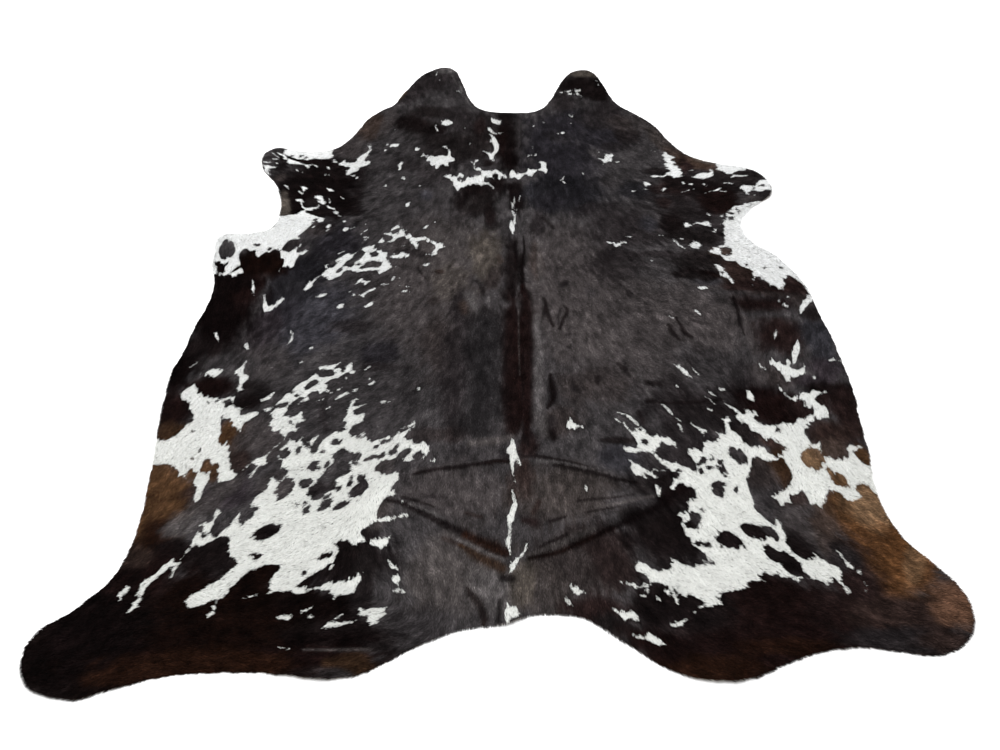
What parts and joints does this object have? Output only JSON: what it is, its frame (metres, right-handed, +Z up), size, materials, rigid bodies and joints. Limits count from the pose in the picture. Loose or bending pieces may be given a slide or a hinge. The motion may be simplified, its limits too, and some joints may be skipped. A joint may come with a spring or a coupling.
{
  "type": "cowhide rug",
  "caption": "Whole hair-on cattle hide laid out flat as a rug, dark brown and black with white markings, with soft folds in the skin.",
  "frame": {"origin": "on the floor, under the middle of the rug's outline box", "axes": "+Z up out of the hair side, +Y along the spine to the neck, -X to the animal's left side"},
  "size_m": [2.0029, 2.2927, 0.015],
  "materials": {
    "hair_on_hide": "short cattle hair with a soft sheen over tanned skin: near-black to dark brown, with speckled white markings"
  },
  "bodies": {
    "root": {"hide": "hair_on_hide"}
  },
  "joints": []
}
